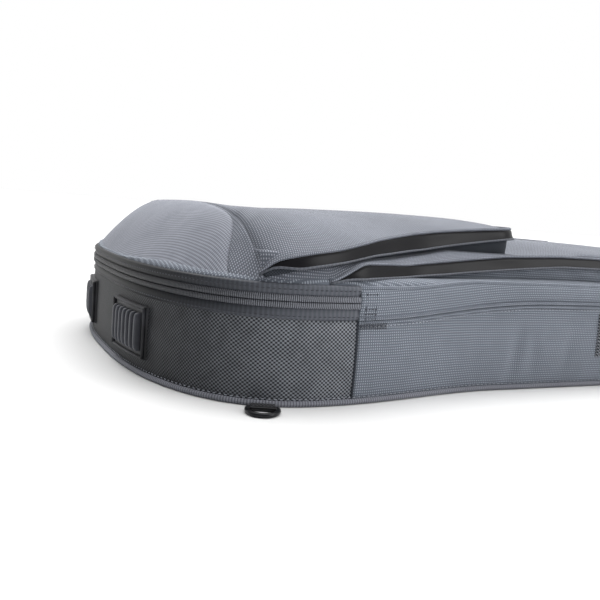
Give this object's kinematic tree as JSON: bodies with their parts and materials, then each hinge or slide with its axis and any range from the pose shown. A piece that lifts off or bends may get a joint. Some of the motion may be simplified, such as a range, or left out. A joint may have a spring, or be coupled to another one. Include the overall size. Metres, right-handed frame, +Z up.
{
  "type": "padded gig bag",
  "caption": "Padded soft case for an electric guitar or bass, lying on its back, with a hinged zipped lid, two front pockets, carrying handle, strap rings and shoulder straps.",
  "frame": {"origin": "middle of the footprint, on the floor the bag lies on", "axes": "+X along the bag from its bottom end to its head end, +Z up out of the pockets, -Y the hinged spine side"},
  "size_m": [1.0924, 0.4514, 0.1345],
  "materials": {
    "grey_nylon": "woven 600D nylon with a padded backing",
    "ballistic_nylon": "coarse dark ballistic nylon",
    "foam": "closed-cell foam",
    "plush": "brushed plush lining",
    "zip_tape": "woven zip tape",
    "zip_coil": "nylon coil",
    "binding": "woven binding over a cord",
    "rubber": "moulded rubber",
    "webbing": "black nylon webbing",
    "coated_flap": "coated rain flap",
    "air_mesh": "air mesh over foam",
    "plastic": "moulded acetal",
    "hook_and_loop": "hook-and-loop webbing",
    "black_metal": "black coated zinc alloy",
    "reflective_tape": "smooth light grey retro-reflective tape"
  },
  "bodies": {
    "base": {"wall_foam": "foam", "back_panel": "grey_nylon", "back_lining": "plush", "wall_lining": "plush", "side_panel_ballistic": "ballistic_nylon", "side_panel_grey": "grey_nylon", "spine_cloth_base": "grey_nylon", "zip_tape_lower": "zip_tape", "zip_coil_lower": "zip_coil", "bottom_piping": "binding", "foot_near": "rubber", "foot_far": "rubber", "ring_tab_near": "webbing", "ring_tab_far": "webbing", "handle_patch_rear": "ballistic_nylon", "handle_patch_front": "ballistic_nylon", "head_loop": "webbing", "neck_cradle": "plush", "neck_strap": "hook_and_loop", "end_pad": "plush", "shoulder_strap_near": "air_mesh", "shoulder_strap_far": "air_mesh", "strap_buckle_near": "plastic", "strap_buckle_far": "plastic", "strap_webbing_near": "webbing", "strap_webbing_far": "webbing", "strap_hook_near": "black_metal", "strap_hook_far": "black_metal"},
    "ring_near": {"d_ring_near": "black_metal"},
    "ring_far": {"d_ring_far": "black_metal"},
    "handle": {"handle_strap": "webbing"},
    "slider_a": {"main_a_slider": "black_metal"},
    "pull_a": {"main_a_pull": "black_metal"},
    "slider_b": {"main_b_slider": "black_metal"},
    "pull_b": {"main_b_pull": "black_metal"},
    "lid": {"lid_lining": "plush", "lid_foam": "foam", "spine_cloth_lid": "grey_nylon", "zip_tape_upper": "zip_tape", "zip_coil_upper": "zip_coil", "front_panel": "grey_nylon", "pocket_heel": "grey_nylon"},
    "long_pocket": {"long_pocket": "grey_nylon", "long_pocket_zip": "zip_coil", "long_pocket_flap": "coated_flap", "reflective_strip": "reflective_tape"},
    "long_slider": {"long_pocket_slider": "black_metal", "long_pocket_pull": "black_metal"},
    "short_pocket": {"short_pocket": "grey_nylon", "short_pocket_zip": "zip_coil", "short_pocket_flap": "coated_flap"},
    "short_slider": {"short_pocket_slider": "black_metal", "short_pocket_pull": "black_metal"}
  },
  "joints": [
    {"name": "lid_hinge", "type": "hinge", "parent": "base", "child": "lid", "pos_m": [0, -0.207, 0.0709], "axis": [1, 0, 0], "range_deg": [0, 110]},
    {"name": "long_pocket_fold", "type": "hinge", "parent": "lid", "child": "long_pocket", "pos_m": [-0.4768, 0, 0.1295], "axis": [0, -1, 0], "range_deg": [0, 30]},
    {"name": "short_pocket_fold", "type": "hinge", "parent": "long_pocket", "child": "short_pocket", "pos_m": [-0.4768, 0, 0.1295], "axis": [0, -1, 0], "range_deg": [0, 35]},
    {"name": "slider_a_slide", "type": "slide", "parent": "base", "child": "slider_a", "axis": [-1, 0, 0], "range_m": [0, 0.06]},
    {"name": "slider_b_slide", "type": "slide", "parent": "base", "child": "slider_b", "axis": [1, 0, 0], "range_m": [0, 0.06]},
    {"name": "pull_a_swing", "type": "hinge", "parent": "slider_a", "child": "pull_a", "pos_m": [0.2412, 0.0854, 0.0709], "axis": [1, 0, 0], "range_deg": [0, 100]},
    {"name": "pull_b_swing", "type": "hinge", "parent": "slider_b", "child": "pull_b", "pos_m": [0.2712, 0.0854, 0.0709], "axis": [1, 0, 0], "range_deg": [0, 100]},
    {"name": "long_slider_slide", "type": "slide", "parent": "long_pocket", "child": "long_slider", "axis": [1, 0, 0], "range_m": [0, 0.12]},
    {"name": "short_slider_slide", "type": "slide", "parent": "short_pocket", "child": "short_slider", "axis": [1, 0, 0], "range_m": [0, 0.006]},
    {"name": "ring_near_swing", "type": "hinge", "parent": "base", "child": "ring_near", "pos_m": [-0.47746, -0.20964, 0.0016], "axis": [-0.9172, 0.3985, 0], "range_deg": [0, 95]},
    {"name": "ring_far_swing", "type": "hinge", "parent": "base", "child": "ring_far", "pos_m": [-0.47746, 0.20964, 0.0016], "axis": [0.9172, 0.3985, 0], "range_deg": [0, 95]},
    {"name": "handle_swing", "type": "hinge", "parent": "base", "child": "handle", "pos_m": [-0.1438, -0.1881, 0.044], "axis": [-1, 0, 0], "range_deg": [0, 120]}
  ]
}
